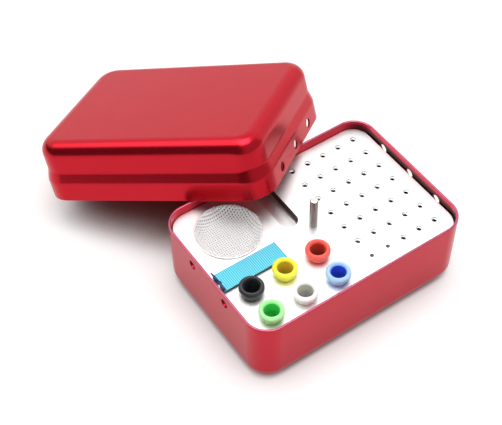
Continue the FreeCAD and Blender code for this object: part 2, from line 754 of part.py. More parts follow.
def ruler():
    """A bent strip: a flat top on two end flanges, a notched stop, and tabs down through the plate."""
    body = body_of("ruler")
    profile = sketch_on(body, "XZ_Plane", "profile")
    low_top = ruler_height - ruler_thickness
    draw_polygon(profile, [
        (ZERO, ZERO),
        (ruler_thickness, ZERO),
        (ruler_thickness, low_top),
        (ruler_length - ruler_thickness, low_top),
        (ruler_length - ruler_thickness, ZERO),
        (ruler_length, ZERO),
        (ruler_length, ruler_height),
        (ruler_thickness, ruler_height),
        (ruler_thickness - ruler_stop_lean, ruler_height + ruler_stop),
        (-ruler_stop_lean, ruler_height + ruler_stop),
        (ZERO, ruler_height),
    ])
    strip = pad(profile, ruler_width)
    strip.Midplane = True
    notch = sketch_on(body, "XY_Plane", "notch", ruler_height + ruler_stop)
    notch_length = 2 * (ruler_stop_lean + ruler_thickness / 4)
    draw_rounded_rectangle(notch, notch_length, ruler_notch, ruler_thickness / 4)
    pocket(notch)
    tabs = sketch_on(body, "XY_Plane", "tabs")
    for x, y in ruler_tab_places():
        draw_rounded_rectangle(
            tabs, ruler_thickness, ruler_tab_width, ruler_tab_clearance, x - ruler_start, y - ruler_centre_y
        )
    pad(tabs, plate_thickness, downward=True)
    place(body, ruler_start, ruler_centre_y, plate_top)
    return keep(body)


def cup(colour, x, y):
    """A silicone cup: a thick round rim on a bowl above the plate, and a barrel below it."""
    body = body_of(f"cup_{colour}")
    profile = sketch_on(body, "XZ_Plane", "profile")
    outer, mouth, neck = cup_diameter / 2, cup_mouth / 2, cup_neck / 2
    edge = cup_rim_height / 4
    under_rim = cup_height - cup_rim_height
    belly = outer - cup_groove
    foot_radius = neck - cup_taper
    draw_polygon(profile, [
        (ZERO, -cup_depth),
        (foot_radius - cup_floor / 2, -cup_depth),
        (foot_radius, cup_floor / 2 - cup_depth),
        (neck, -plate_thickness),
        (neck, ZERO),
        (neck + cup_seat, ZERO),
        (belly - cup_seat, under_rim / 2 - cup_groove),
        (belly, under_rim - cup_groove),
        (belly - cup_groove, under_rim),
        (outer, under_rim + cup_groove),
        (outer, cup_height - cup_rim_fall - edge),
        (outer - edge, cup_height - cup_rim_fall),
        (mouth + edge, cup_height),
        (mouth + edge / 2, cup_height),
        (mouth, cup_height - edge / 2),
        (neck - cup_wall, ZERO),
        (foot_radius - cup_wall, cup_floor - cup_depth),
        (ZERO, cup_floor - cup_depth),
    ])
    turn(profile)
    place(body, x, y, plate_top)
    return keep(body)


def check_and_write():
    """Stops on any failed object, then writes each piece to its own file."""
    doc.recompute()
    for item in doc.Objects:
        if {"Invalid", "Error"} & set(item.State):
            raise RuntimeError(f"{item.Name} failed: {item.State}")
    os.makedirs("parts", exist_ok=True)
    for piece in pieces:
        shape = piece.Shape
        if shape.isNull() or not shape.isValid() or len(shape.Solids) != 1:
            raise RuntimeError(f"{piece.Label} has no valid single solid")
        shape.exportStep(f"parts/{piece.Label}.step")
        box = shape.BoundBox
        print(f"{piece.Label:14s} {shape.Volume:9.1f} mm3  z {box.ZMin:6.2f} to {box.ZMax:6.2f}")


base_shell()
lid_shell()
rack_plate()
lower_plate()
for number, (x, y) in enumerate(pillar_places(), 1):
    pillar(number, x, y)
    foot(number, x, y)
lifting_post()
post_nut()
tool_trough()
strainer_rim()
strainer_mesh()
ruler()
for colour, (x, y) in zip(("green", "white", "blue", "black", "yellow", "red"), cup_places()):
    cup(colour, x, y)
check_and_write()
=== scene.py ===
# %% [markdown]
# # An open box for endodontic files
#
# A red anodised aluminium box stands open, with its lid leaning on the far rim. In it lies a silver rack
# with file holes, a strainer, a blue ruler, a polished lifting post and six silicone cups. This lesson
# dresses the CAD model of that box: it gives every piece a smooth surface and a finish, piece by piece.
#
# The CAD frame is loaded first, because it says where each piece is and which body it moves with.

# %% Load the frame
import math

import bmesh
import bpy
import numpy as np
from mathutils import Matrix, Vector


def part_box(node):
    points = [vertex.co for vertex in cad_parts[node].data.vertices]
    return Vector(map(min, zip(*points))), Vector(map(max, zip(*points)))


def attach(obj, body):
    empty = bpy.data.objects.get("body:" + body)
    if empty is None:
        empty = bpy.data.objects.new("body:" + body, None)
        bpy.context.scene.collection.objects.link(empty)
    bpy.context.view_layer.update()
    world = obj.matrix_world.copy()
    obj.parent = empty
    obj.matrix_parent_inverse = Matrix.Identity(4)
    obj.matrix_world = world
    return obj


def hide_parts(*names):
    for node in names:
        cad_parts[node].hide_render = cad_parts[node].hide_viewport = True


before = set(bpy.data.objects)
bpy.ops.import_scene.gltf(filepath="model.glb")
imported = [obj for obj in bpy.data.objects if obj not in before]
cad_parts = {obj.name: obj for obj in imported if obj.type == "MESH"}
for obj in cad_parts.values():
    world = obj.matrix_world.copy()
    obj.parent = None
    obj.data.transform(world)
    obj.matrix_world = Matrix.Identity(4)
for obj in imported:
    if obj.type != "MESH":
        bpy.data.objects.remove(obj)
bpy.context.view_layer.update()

MM = 0.001

# %% [markdown]
# ## The camera
#
# The camera was found by matching the edges of the box and the grid of file holes. It could also be set by
# eye, but a fitted camera puts every piece where it belongs without nudging. It looks down at 50 degrees,
# turned 33 degrees from square on to the box's long side, with a slight roll.

# %% Camera
TURN, RISE, ROLL = -0.580534, 0.877387, -0.023313
AIM = np.array([-12.75, 34.39, 20.0])
DISTANCE = 584.63
FOCAL_LENGTH, SENSOR_WIDTH = 83.95, 36.0


def set_camera():
    """Looks at AIM from DISTANCE. back = (sin t cos e, -cos t cos e, sin e); right and up are rolled."""
    back = np.array([math.sin(TURN) * math.cos(RISE), -math.cos(TURN) * math.cos(RISE), math.sin(RISE)])
    right = np.array([math.cos(TURN), math.sin(TURN), 0.0])
    up = np.cross(back, right)
    rolled_right = right * math.cos(ROLL) + up * math.sin(ROLL)
    rolled_up = up * math.cos(ROLL) - right * math.sin(ROLL)
    lens = bpy.data.cameras.new("camera")
    lens.lens = FOCAL_LENGTH
    lens.sensor_fit = "HORIZONTAL"
    lens.sensor_width = SENSOR_WIDTH
    lens.clip_start = 0.01
    camera = bpy.data.objects.new("camera", lens)
    axes = Matrix([rolled_right, rolled_up, back]).transposed().to_4x4()
    camera.matrix_world = Matrix.Translation((AIM + back * DISTANCE) * MM) @ axes
    bpy.context.scene.collection.objects.link(camera)
    bpy.context.scene.camera = camera
    print("camera at", [round(v, 3) for v in camera.location])


set_camera()

# %% [markdown]
# ## Shader sums in Python
#
# Finishes are built from small sums such as `0.3 + 0.1 * grain`. They could be wired by hand, but that takes
# ten lines where a sum takes one. So a socket is wrapped in a class whose operators add the Math nodes, and
# one method adds every other kind of node.

# %% Sockets that add up
class Signal:
    """One output of a node. Each operator adds a Math node that works on it."""

    def __init__(self, shader, socket):
        self.shader = shader
        self.socket = socket

    def other(self, name):
        """Another output of the same node."""
        return Signal(self.shader, self.socket.node.outputs[name])

    def math(self, operation, *terms):
        return self.shader.node("ShaderNodeMath", {"operation": operation}, dict(enumerate(terms)))

    def __add__(self, term):
        return self.math("ADD", self, term)

    def __sub__(self, term):
        return self.math("SUBTRACT", self, term)

    def __mul__(self, term):
        return self.math("MULTIPLY", self, term)

    def __radd__(self, term):
        return self.math("ADD", term, self)

    def __rsub__(self, term):
        return self.math("SUBTRACT", term, self)

    def __rmul__(self, term):
        return self.math("MULTIPLY", term, self)

    def __mod__(self, term):
        return self.math("FLOORED_MODULO", self, term)

    def __abs__(self):
        return self.math("ABSOLUTE", self)

    def root(self):
        return self.math("SQRT", self)

    def at_least(self, other):
        return self.math("MAXIMUM", self, other)

    def ramp(self, low, high, first=0.0, last=1.0):
        """Goes smoothly from first to last while the signal goes from low to high."""
        names = ("Value", "From Min", "From Max", "To Min", "To Max")
        values = dict(zip(names, (self, low, high, first, last)))
        return self.shader.node("ShaderNodeMapRange", {"interpolation_type": "SMOOTHSTEP"}, values)


class Shader:
    """The node tree of a material or of the world."""

    def __init__(self, owner):
        owner.use_nodes = True
        self.tree = owner.node_tree
        self.tree.nodes.clear()

    def node(self, kind, settings=None, inputs=None, output=0):
        """Adds a node of any kind: settings come first, then the value or link of each input."""
        node = self.tree.nodes.new(kind)
        for name, value in (settings or {}).items():
            setattr(node, name, value)
        for key, value in (inputs or {}).items():
            if isinstance(value, Signal):
                self.tree.links.new(value.socket, node.inputs[key])
            else:
                node.inputs[key].default_value = value
        return Signal(self, node.outputs[output]) if len(node.outputs) else None

    def place(self, scale=(1, 1, 1), location=(0, 0, 0), rotation=(0, 0, 0)):
        """Object coordinates in millimetres, moved and turned to a piece's own axes, then stretched."""
        own = self.node("ShaderNodeTexCoord", output="Object")
        centred = self.node("ShaderNodeMapping", {"vector_type": "TEXTURE"},
                            {"Vector": own, "Location": location, "Rotation": rotation})
        stretched = {"Vector": centred, "Scale": [factor / MM for factor in scale]}
        return self.node("ShaderNodeMapping", {"vector_type": "POINT"}, stretched)

    def noise(self, place, scale, detail=2.0):
        """Smooth noise between 0 and 1, scale cells to the millimetre."""
        return self.node("ShaderNodeTexNoise", {}, {"Vector": place, "Scale": scale, "Detail": detail})

    def mix(self, amount, first, second):
        """Goes from the first colour to the second."""
        return self.node("ShaderNodeMix", {"data_type": "RGBA"}, {0: amount, 6: first, 7: second}, output=2)

    def bump(self, height, depth):
        """A normal that follows height, where 1 stands for depth millimetres."""
        return self.node("ShaderNodeBump", {}, {"Height": height, "Distance": depth * MM, "Strength": 1.0})

    def surface(self, **values):
        """The Principled shader that ends the tree; _ in a name stands for a space."""
        inputs = {name.replace("_", " "): value for name, value in values.items()}
        bsdf = self.node("ShaderNodeBsdfPrincipled", {}, inputs)
        self.node("ShaderNodeOutputMaterial", {}, {"Surface": bsdf})


def finish_of(name):
    """A new material and its empty node tree."""
    material = bpy.data.materials.new(name)
    return material, Shader(material)


# %% [markdown]
# ## A plain studio
#
# The box stands on a white table under one large soft lamp, right above it. The floor could be lit until it
# is white, but then the box would be lit too brightly. So the lamp stays plain, and the floor adds a little
# of its own light to what the camera and the reflections see. Where little open sky reaches it, most of all
# under the lid, it loses that light, and its colour is painted darker: a painted shadow, tinted red like
# painted bounce light from the lid. Metal needs something dark to mirror as well, or it looks like plastic:
# the sky is white above and behind, and dim elsewhere, but for soft parts to the right and in front. One
# panel on the left is brighter still, and draws the shine along the lid's bend.

# %% Floor, sky and lamp
FLOOR_HALF = 3.0
FLOOR_WHITE, FLOOR_PAINTED_SHADOW = (0.86, 0.85, 0.845, 1), (0.26, 0.05, 0.045, 1)
GLOW_COLOUR = (1, 0.985, 0.98, 1)
OPEN_SKY_REACH = 0.080

# Each part of the sky that gloss sees: its direction, the dot products where it starts and where it is
# full, and its strengths outside and inside
WHITE_BEHIND = ((0.25, 0.62, 0.74), 0.50, 0.66, 0.04, 1.0)
SOFT_RIGHT = ((0.95, 0.15, 0.28), 0.82, 0.95, 0.0, 0.9)
SOFT_FRONT = ((0.50, -0.75, 0.45), 0.30, 0.80, 0.0, 0.45)
LEFT_PANEL = ((-0.25, 0.45, 0.86), 0.90, 0.96, 0.0, 1.6)
PLAIN_LIGHT = 0.58


def make_floor():
    """A flat square, six metres wide, that shows white and still takes the shadow.

    Near the box, where little open sky reaches it, its colour and glow are painted darker, a painted shadow.
    Behind the base, under the lid, the painted shadow reaches farther off.
    """
    half = FLOOR_HALF
    corners = [(-half, -half, 0), (half, -half, 0), (half, half, 0), (-half, half, 0)]
    mesh = bpy.data.meshes.new("floor")
    mesh.from_pydata(corners, [], [(0, 1, 2, 3)])
    floor = bpy.data.objects.new("floor", mesh)
    bpy.context.scene.collection.objects.link(floor)
    material, shader = finish_of("floor_white")
    seen = shader.node("ShaderNodeLightPath", output="Is Camera Ray")
    rays = seen + seen.other("Is Glossy Ray") + seen.other("Is Transmission Ray")
    reach = {"Distance": OPEN_SKY_REACH}
    open_sky = shader.node("ShaderNodeAmbientOcclusion", {"samples": 24}, reach, "AO")
    split = shader.node("ShaderNodeSeparateXYZ", {}, {0: shader.place()})
    behind = split.other("Y").ramp(40.0, 65.0)
    # painted shadow: near the box and under the lid, the colour turns red-brown and the glow fades
    shade = 1 - behind * open_sky.ramp(0.25, 0.75, 1.0, 0.0)
    tone = shader.mix(shade * open_sky.ramp(0.10, 0.50), FLOOR_PAINTED_SHADOW, FLOOR_WHITE)
    lit = shader.node("ShaderNodeBsdfDiffuse", {}, {"Color": tone})
    glow = (0.09 * rays + 0.19 * seen) * open_sky.ramp(0.20, 0.65) * shade
    own = shader.node("ShaderNodeEmission", {}, {"Color": GLOW_COLOUR, "Strength": glow})
    both = shader.node("ShaderNodeAddShader", {}, {0: lit, 1: own})
    shader.node("ShaderNodeOutputMaterial", {}, {"Surface": both})
    mesh.materials.append(material)


def make_sky():
    """White to the camera; to gloss, white above and behind, soft on the right and in front, dim elsewhere.

    A part's strength follows the dot product of the ray's direction with the part's own. Of the white and
    the two soft parts the strongest counts, and the panel on the left is added to it.
    """
    world = bpy.data.worlds.new("studio")
    bpy.context.scene.world = world
    shader = Shader(world)
    direction = shader.node("ShaderNodeTexCoord", output="Generated")

    def part(aim, *limits):
        vectors = {0: direction, 1: aim}
        toward = shader.node("ShaderNodeVectorMath", {"operation": "DOT_PRODUCT"}, vectors, "Value")
        return toward.ramp(*limits)

    mirrored = part(*WHITE_BEHIND).at_least(part(*SOFT_RIGHT)).at_least(part(*SOFT_FRONT))
    seen = shader.node("ShaderNodeLightPath", output="Is Camera Ray")
    glossy = seen.other("Is Glossy Ray")
    clear = seen.other("Is Transmission Ray")
    plain = 1 - seen - glossy - clear
    strength = seen + clear + glossy * (mirrored + part(*LEFT_PANEL)) + PLAIN_LIGHT * plain
    back = shader.node("ShaderNodeBackground", {}, {"Color": (1, 1, 1, 1), "Strength": strength})
    shader.node("ShaderNodeOutputWorld", {}, {"Surface": back})


def make_lamp(name, place, aim, size, power):
    """A square soft lamp, size metres wide, at place and turned to aim."""
    lamp = bpy.data.lights.new(name, "AREA")
    lamp.shape = "SQUARE"
    lamp.size = size
    lamp.energy = power
    holder = bpy.data.objects.new(name, lamp)
    holder.location = place
    holder.rotation_euler = (Vector(aim) - Vector(place)).to_track_quat("-Z", "Y").to_euler()
    bpy.context.scene.collection.objects.link(holder)


make_floor()
make_sky()
make_lamp("softbox", place=(0.06, 0.02, 1.35), aim=(0, 0.03, 0), size=0.9, power=10.5)
bpy.context.scene.view_settings.view_transform = "Standard"

# %% [markdown]
# ## From grids to meshes
#
# Every new piece is a grid of points: rows follow a profile and columns go round the piece. The grid could
# be modelled by hand or bevelled in steps, but as a formula it is smooth, exact and quick to change.

# %% Grid to mesh
def bent_line(corners, radii, steps=8):
    """A line through corners, where corner k is replaced by an arc of radius radii[k].

    The arc starts and ends at radius times tan(half the turn) from its corner, and its middle lies at
    radius / cos(half the turn) along the bisector.
    """
    corners = np.array(corners, float)
    radii = np.broadcast_to(radii, len(corners))
    parts = [corners[:1]]
    for before, corner, after, radius in zip(corners, corners[1:], corners[2:], radii[1:]):
        into = (corner - before) / np.linalg.norm(corner - before)
        out = (after - corner) / np.linalg.norm(after - corner)
        half_turn = math.acos(np.clip(into @ out, -1, 1)) / 2
        if radius <= 0 or half_turn < 1e-4:
            parts.append(corner[None])
            continue
        middle = corner + (out - into) / np.linalg.norm(out - into) * radius / math.cos(half_turn)
        first = corner - into * radius * math.tan(half_turn) - middle
        last = corner + out * radius * math.tan(half_turn) - middle
        angles = np.linspace(0, 1, steps + 1)[:, None] * 2 * half_turn
        arc = (np.sin(2 * half_turn - angles) * first + np.sin(angles) * last) / math.sin(2 * half_turn)
        parts.append(middle + arc)
    parts.append(corners[-1:])
    return np.vstack(parts)


def divided(line, longest):
    """The same line with points added so that no run is longer than longest."""
    runs = np.linalg.norm(np.diff(line, axis=0), axis=1)
    counts = np.maximum(np.ceil(runs / longest), 1).astype(int)
    fractions = np.concatenate([k + np.arange(n) / n for k, n in enumerate(counts)] + [[len(counts)]])
    return np.stack([np.interp(fractions, np.arange(len(line)), column) for column in line.T], axis=1)


def skin(name, grid, body, wrapped_rows=False):
    """Joins a grid of points in millimetres into a closed mesh object that rides on a body.

    Columns close round the piece. A first or last row that lies in one point becomes a pole, and with
    wrapped_rows the last row joins the first. Faces are turned so that the volume is positive.
    """
    rows, columns = grid.shape[:2]
    numbers = np.arange(rows * columns).reshape(rows, columns)
    for row in (0, rows - 1):
        if np.ptp(grid[row], axis=0).max() < 1e-6:
            numbers[row] = numbers[row, 0]
    low = numbers if wrapped_rows else numbers[:-1]
    high = np.roll(numbers, -1, axis=0)[:len(low)]
    quads = np.stack([low, np.roll(low, -1, 1), np.roll(high, -1, 1), high], axis=-1).reshape(-1, 4)
    from_pole = quads[:, 0] == quads[:, 1]
    to_pole = quads[:, 2] == quads[:, 3]
    points = grid.reshape(-1, 3) * MM
    fans = np.vstack([quads[from_pole][:, [0, 2, 3]], quads[to_pole][:, :3]])
    quads = quads[~from_pole & ~to_pole]
    corners = np.vstack([quads[:, :3], quads[:, [0, 2, 3]], fans])
    a, b, c = (points[corners[:, k]] for k in range(3))
    if np.einsum("ij,ij->", a, np.cross(b, c)) < 0:
        quads, fans = quads[:, ::-1], fans[:, ::-1]
    used = np.unique(np.concatenate([quads.ravel(), fans.ravel()]))
    faces = np.searchsorted(used, quads).tolist() + np.searchsorted(used, fans).tolist()
    mesh = bpy.data.meshes.new(name)
    mesh.from_pydata(points[used].tolist(), [], faces)
    piece = bpy.data.objects.new(name, mesh)
    bpy.context.scene.collection.objects.link(piece)
    if body:
        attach(piece, body)
    return piece


def smooth(piece, angle=30.0):
    """Smooth shading up to angle degrees, with big flat faces ruling the normals of their edges."""
    mesh = piece.data
    mesh.polygons.foreach_set("use_smooth", np.ones(len(mesh.polygons), bool))
    mesh.set_sharp_from_angle(angle=math.radians(angle))
    even = piece.modifiers.new("even_normals", "WEIGHTED_NORMAL")
    even.keep_sharp = True
    print(f"{piece.name}: {len(mesh.vertices)} points, {len(mesh.polygons)} faces")


def wear(piece, material, slot, *nodes):
    """Gives a piece its material, and hides the CAD nodes that it stands for. The slot is not used."""
    piece.data.materials.clear()
    piece.data.materials.append(material)
    if nodes:
        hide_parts(*nodes)


def turned(profile, centre, around=72):
    """A profile of radius and height, turned about a vertical axis through centre."""
    angles = np.arange(around) / around * 2 * np.pi
    radius, height = profile[:, :1], profile[:, 1:]
    x = centre[0] + radius * np.cos(angles)
    y = centre[1] + radius * np.sin(angles)
    return np.stack([x, y, np.broadcast_to(height + centre[2], x.shape)], axis=-1)


# %% [markdown]
# ## Walls that go round a rounded rectangle
#
# Base, lid and trough are drawn sheet: one wall profile, carried round a rounded rectangle. The path could
# be a curve with a bevel object, but its corners would pinch. Here each point of the path is a point of
# the skeleton, which runs between the corners' centres, plus an outward step of the corner radius less the
# profile's inset. So every inset gives true arcs, and the flat middle shrinks to one point.

# %% A profile carried round
def rounded_path(length, width, corner, per_corner=20, longest=5.0):
    """The skeleton and the outward directions of a rounded rectangle, corner by corner."""
    half = np.array([length / 2 - corner, width / 2 - corner])
    signs = np.array([(1, -1), (1, 1), (-1, 1), (-1, -1)])
    spines, outwards = [], []
    for quarter, sign in enumerate(signs):
        angles = (quarter - 1 + np.linspace(0, 1, per_corner + 1)) * np.pi / 2
        spine = sign * half
        following = signs[(quarter + 1) % 4] * half
        outward = np.stack([np.cos(angles), np.sin(angles)], axis=1)
        count = max(int(np.linalg.norm(following - spine) / longest), 1)
        between = np.linspace(0, 1, count + 2)[1:-1, None]
        spines += [np.tile(spine, (per_corner + 1, 1)), spine + (following - spine) * between]
        outwards += [outward, np.tile(outward[-1], (count, 1))]
    return np.vstack(spines), np.vstack(outwards)


def carried(profile, length, width, corner, per_corner=20):
    """A profile of inset, height and shrink, carried round: shrink * (spine + (corner - inset) * outward)."""
    spine, outward = rounded_path(length, width, corner, per_corner)
    inset, height, shrink = profile[:, 0, None, None], profile[:, 1, None], profile[:, 2, None, None]
    flat = shrink * (spine + (corner - inset) * outward)
    return np.concatenate([flat, np.broadcast_to(height, flat.shape[:2])[..., None]], axis=-1)


def closed_profile(outer, inner, rings=6):
    """One profile from the middle of the floor outside, over the wall, to the middle of the floor inside."""
    def with_floor(line):
        shrink = np.linspace(0, 1, rings + 1)[:-1]
        start = np.column_stack([np.full((rings, 2), line[0]), shrink])
        return np.vstack([start, np.column_stack([line, np.ones(len(line))])])
    return np.vstack([with_floor(outer), with_floor(inner)[::-1]])


# %% [markdown]
# ## Red anodised aluminium
#
# The sheet was drawn in a press, blasted to a satin grain and dyed red in its oxide layer. A red paint
# would look flat: here light passes a clear hard layer and mirrors softly in the metal under it. So the
# shader is mostly metal with a red tint, under a clear coat, and the grain is a fine bump. Faint lines run
# round the walls, where the tool drew the sheet.

# %% Anodised finish
RED_DEEP, RED_BRIGHT = (0.54, 0.004, 0.014), (0.64, 0.012, 0.030)
BASE_DEEP, BASE_BRIGHT = (0.51, 0.004, 0.018), (0.62, 0.010, 0.036)
RIM_PAINTED_HIGHLIGHT, WALL_PAINTED_SHADE = (0.57, 0.12, 0.21, 1), (0.05, 0.002, 0.006, 1)
BASE_LENGTH, BASE_WIDTH, BASE_HEIGHT = 120.0, 85.0, 41.0
BASE_CORNER, BASE_WALL = 12.0, 1.2
BASE_SLOPE = math.tan(math.radians(0.7))


def anodised(name, deep, bright, location=(0, 0, 0), rotation=(0, 0, 0), tub=False):
    """A dyed satin metal: clouds, grain and draw lines vary the dye, the last two roughness and bump as well.

    A tub's inside and rim are told by the distance from the skeleton of its rounded rectangle, the root of
    the squared distances beyond the corners' centres, along and across. The rim is painted paler, a painted
    highlight, and the inner wall of the right end is painted dark, a painted shade.
    """
    material, shader = finish_of(name)
    own = shader.place(location=location, rotation=rotation)
    lines = shader.noise(shader.place((0.03, 0.03, 4.0), location, rotation), 1.0, 3.0)
    clouds = shader.noise(own, 0.09, 3.0)
    grain = shader.noise(own, 4.0, 3.0)
    dye = clouds * 0.4 + grain * 0.3 + lines * 0.3
    colour = shader.mix(dye, (*deep, 1), (*bright, 1))
    if tub:
        split = shader.node("ShaderNodeSeparateXYZ", {}, {0: own})
        height = split.other("Z")
        along = (abs(split) - (BASE_LENGTH / 2 - BASE_CORNER)).at_least(0.0)
        across = (abs(split.other("Y")) - (BASE_WIDTH / 2 - BASE_CORNER)).at_least(0.0)
        reach = (along * along + across * across).root() + (BASE_HEIGHT - height) * BASE_SLOPE
        inside = reach.ramp(BASE_CORNER - 0.9, BASE_CORNER - 0.6, 1.0, 0.0)
        below_rim = height.ramp(BASE_HEIGHT - 2.1, BASE_HEIGHT - 1.5, 1.0, 0.0)
        right_end = split.ramp(BASE_LENGTH / 2 - 14.0, BASE_LENGTH / 2 - 3.0)
        # painted shade: the inner wall of the right end, below the rim, is painted near black
        colour = shader.mix(0.94 * (inside * below_rim * right_end), colour, WALL_PAINTED_SHADE)
        # painted highlight: the top of the rim is painted a pale pink
        colour = shader.mix(height.ramp(BASE_HEIGHT - 0.4, BASE_HEIGHT - 0.1), colour, RIM_PAINTED_HIGHLIGHT)
    shader.surface(
        Base_Color=colour,
        Metallic=0.85,
        Roughness=0.20 + 0.06 * grain + 0.03 * lines,
        IOR=1.45,
        Coat_Weight=0.10,
        Coat_Roughness=0.24,
        Coat_IOR=1.5,
        Normal=shader.bump(grain + 0.3 * lines, 0.004),
    )
    return material


base_red = anodised("base_red", BASE_DEEP, BASE_BRIGHT, tub=True)

# %% [markdown]
# ## The base
#
# A tub of sheet metal, 120 by 85 by 41 mm: its walls lean in a little towards the floor and meet it in a
# wide radius. Steam vents are punched near the rim, three in one end and two in the other. The wall
# is one carried profile. The vents could be modelled into the grid, but a Boolean cut with a small flare at
# each end is simpler and leaves the softened edge of a punched hole.

# %% Base with vents
VENT_RADIUS, VENT_DROP = 2.3, 6.1
VENT_PITCH_THREE, VENT_PITCH_TWO = 20.5, 26.8


def vent_cutter(number, x, y, z, wall, sign):
    """A bar along X that flares by a fifth of a millimetre where it leaves either side of the wall."""
    flare, past = 0.22, 4
    narrow, wide = VENT_RADIUS, VENT_RADIUS + flare
    line = np.array([
        (0, -past), (wide + past, -past), (wide, 0), (narrow, flare),
        (narrow, wall - flare), (wide, wall), (wide + past, wall + past), (0, wall + past)])
    along = turned(line, (0, 0, 0), 48)
    placed = np.stack([x - sign * along[..., 2], y + along[..., 0], z + along[..., 1]], axis=-1)
    return skin(f"cutter_{number}", placed, None)


def cut_away(piece, cutters):
    """Takes the cutters out of a piece, for good, and removes them."""
    for cutter in cutters:
        cut = piece.modifiers.new("cut", "BOOLEAN")
        cut.solver = "EXACT"
        cut.object = cutter
    graph = bpy.context.evaluated_depsgraph_get()
    result = bpy.data.meshes.new_from_object(piece.evaluated_get(graph))
    piece.modifiers.clear()
    piece.data = result
    for cutter in cutters:
        bpy.data.objects.remove(cutter)


def vents(length, z, wall, lean=0.0):
    """Cutters for three vents in the +X end and two in the -X end, where the wall has leaned in by lean."""
    rows = [(1, (-VENT_PITCH_THREE, 0.0, VENT_PITCH_THREE)), (-1, (-VENT_PITCH_TWO / 2, VENT_PITCH_TWO / 2))]
    places = [(sign, y) for sign, row in rows for y in row]
    return [
        vent_cutter(number, sign * (length / 2 - lean), y, z, wall, sign)
        for number, (sign, y) in enumerate(places)
    ]


def tub_corners(floor, top, radius, inset):
    """The floor's edge, the wall's foot and its head; the wall leans in by 0.7 degrees towards the floor."""
    foot = inset + (BASE_HEIGHT - floor) * BASE_SLOPE
    head = inset + (BASE_HEIGHT - top) * BASE_SLOPE
    return [(foot + radius + 0.5, floor), (foot, floor), (head, top)]


def make_base():
    """The tub's outer and inner lines, joined over a rim whose edges are rounded."""
    bend, edge = 8.0, 0.4
    outer = tub_corners(0.0, BASE_HEIGHT, bend, 0.0)
    inner = tub_corners(BASE_WALL, BASE_HEIGHT, bend - BASE_WALL, BASE_WALL)
    radii = [0, bend, edge, edge, bend - BASE_WALL, 0]
    line = divided(bent_line(outer + inner[::-1], radii, 12), 5.0)
    top = len(line) // 2
    grid = carried(closed_profile(line[:top], line[top:][::-1]), BASE_LENGTH, BASE_WIDTH, BASE_CORNER)
    piece = skin("base_tub", grid, "base")
    lean_at_vents = 0.06
    cut_away(piece, vents(BASE_LENGTH, BASE_HEIGHT - VENT_DROP, BASE_WALL, lean_at_vents))
    smooth(piece)
    wear(piece, base_red, "red_aluminium", "base_shell")


make_base()

# %% [markdown]
# ## The lid, and how it lies
#
# The lid is the same sheet: a straight skirt that slides over the base, a step with two soft bends, and a
# round edge to the top. Its profile is carried round upright, in its own axes. Then all its points are
# turned and moved to where it leans, because a finished object stays at the origin and its mesh holds its
# place. Turning the object instead would let a pattern on Object coordinates slide.
#
# The lean follows from what the lid rests on. It lies across the base's far rim and reaches the table with
# its lowest corner, so the sine of its tilt is the rim's height over the span between the two.

# %% Lid
LID_YAW = -52.0
LID_HEIGHT, LID_WALL, LID_OVERLAP = 30.8, 1.0, 10.6
LID_BEND, LID_STEP_BEND, LID_EDGE = 7.0, 6.0, 0.28
SKIRT_LENGTH, SKIRT_WIDTH, SKIRT_CORNER = 123.0, 88.0, 13.5
SKIRT_HEIGHT, STEP_HEIGHT, STEP_INSET = 9.8, 5.4, 1.5
TOP_INSET = 9.0


def lean_of_lid(gap=0.3, rim_height=BASE_HEIGHT, rim_y=BASE_WIDTH / 2, rim_distance=42.5, shift=-20.5):
    """The lid's tilt about X, and its middle: the rim's edge plus the rim distance down the slope."""
    downhill = math.radians(90 - LID_YAW)
    reach = (SKIRT_LENGTH / 2 - SKIRT_CORNER) * abs(math.cos(downhill))
    reach += (SKIRT_WIDTH / 2 - SKIRT_CORNER) * abs(math.sin(downhill)) + SKIRT_CORNER
    span = rim_distance + reach
    tilt = math.asin((rim_height - gap) / math.hypot(span, gap)) + math.atan2(gap, span)
    y = rim_y + gap * math.sin(tilt) + rim_distance * math.cos(tilt)
    z = rim_height + gap * math.cos(tilt) - rim_distance * math.sin(tilt)
    return tilt, (shift, y, z)


LID_TILT, LID_MIDDLE = lean_of_lid()
LID_TURN = Matrix.Rotation(-LID_TILT, 3, "X") @ Matrix.Rotation(math.radians(LID_YAW), 3, "Z")
print("lid tilt", round(math.degrees(LID_TILT), 2), "degrees, middle", [round(v, 2) for v in LID_MIDDLE])


def lid_corners(inset, top):
    """The lid's wall from its top's edge down to the skirt, moved in by inset at right angles."""
    lean = math.atan2(STEP_INSET, STEP_HEIGHT)
    foot = SKIRT_HEIGHT - inset * math.tan(lean / 2)
    wall = inset + STEP_INSET
    return [(inset + TOP_INSET, top), (wall, top), (wall, foot + STEP_HEIGHT), (inset, foot), (inset, 0.0)]


def make_lid():
    """The outer line from the top down to the skirt's edge, and back up inside."""
    outside = [0, LID_BEND, LID_STEP_BEND, LID_STEP_BEND, LID_EDGE]
    inside = [LID_EDGE, LID_STEP_BEND - LID_WALL, LID_STEP_BEND + LID_WALL, LID_BEND - LID_WALL, 0]
    radii = outside + inside
    corners = lid_corners(0.0, LID_HEIGHT) + lid_corners(LID_WALL, LID_HEIGHT - LID_WALL)[::-1]
    line = divided(bent_line(corners, radii, 12), 5.0)
    low = len(line) // 2
    grid = carried(closed_profile(line[:low], line[low:][::-1]), SKIRT_LENGTH, SKIRT_WIDTH, SKIRT_CORNER)
    piece = skin("lid_cover", grid, None)
    cut_away(piece, vents(SKIRT_LENGTH, LID_OVERLAP - VENT_DROP, LID_WALL))
    piece.data.transform(Matrix.Translation(Vector(LID_MIDDLE) * MM) @ LID_TURN.to_4x4())
    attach(piece, "lid")
    smooth(piece)
    turn = tuple(LID_TURN.to_euler())
    red = anodised("lid_red", RED_DEEP, RED_BRIGHT, tuple(Vector(LID_MIDDLE) * MM), turn)
    wear(piece, red, "red_aluminium", "lid_shell")


make_lid()
